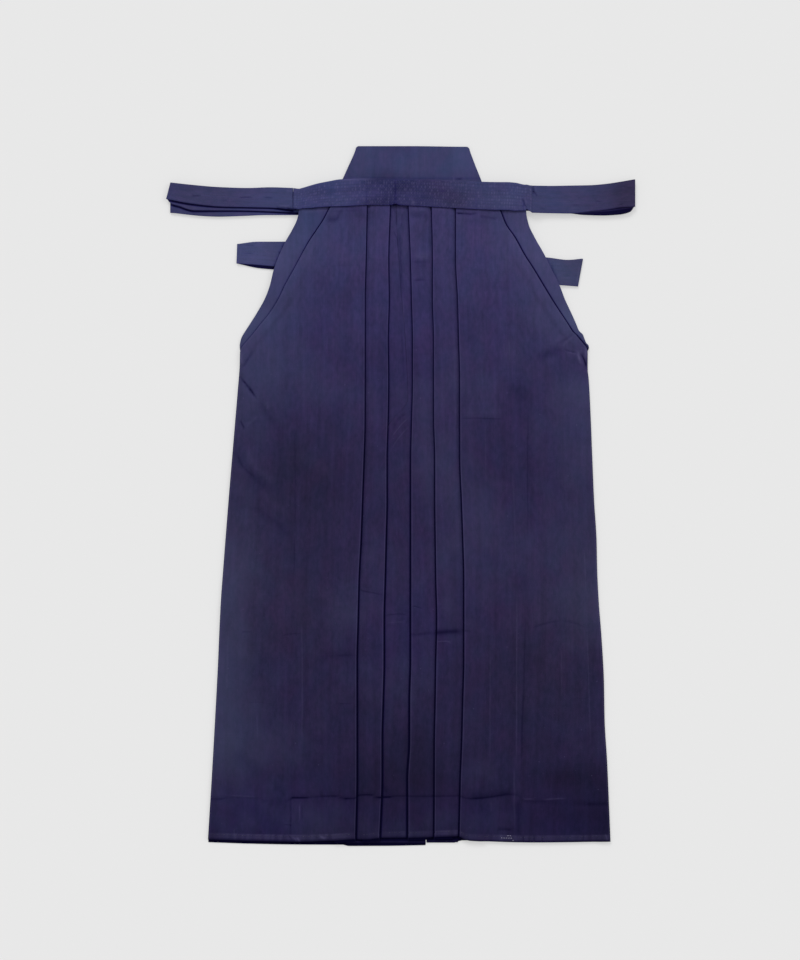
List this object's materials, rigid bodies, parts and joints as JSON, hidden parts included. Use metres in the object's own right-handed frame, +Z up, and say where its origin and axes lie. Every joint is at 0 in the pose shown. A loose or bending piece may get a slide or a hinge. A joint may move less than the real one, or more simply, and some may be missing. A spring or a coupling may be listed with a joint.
{
  "type": "hakama trousers laid flat",
  "caption": "Wide pleated trousers laid flat on their back, knife pleats down the front, a waistband with long folded straps and a stiff trapezoid back board.",
  "frame": {"origin": "middle of the box that holds the whole garment, on the plane that it lies on", "axes": "+X to the wearer's left, +Y from the hems to the back board, +Z up, out of the front"},
  "size_m": [0.6736, 1.006, 0.0119],
  "materials": {
    "body_cloth": "plain-woven dark indigo cloth with fine slubs",
    "strap_cloth": "the same indigo cloth in several layers, with rows of fine stitches",
    "board_cloth": "the same indigo cloth drawn over a stiff board"
  },
  "bodies": {
    "root": {"front_right_leg": "body_cloth", "front_left_leg": "body_cloth", "slit_strip_right": "body_cloth", "slit_strip_left": "body_cloth", "back_right_leg": "body_cloth", "back_left_leg": "body_cloth", "crotch_gusset": "body_cloth", "front_waistband": "strap_cloth", "front_strap_right": "strap_cloth", "front_strap_left": "strap_cloth", "back_strap_right": "strap_cloth", "back_strap_left": "strap_cloth", "back_board": "board_cloth"}
  },
  "joints": []
}
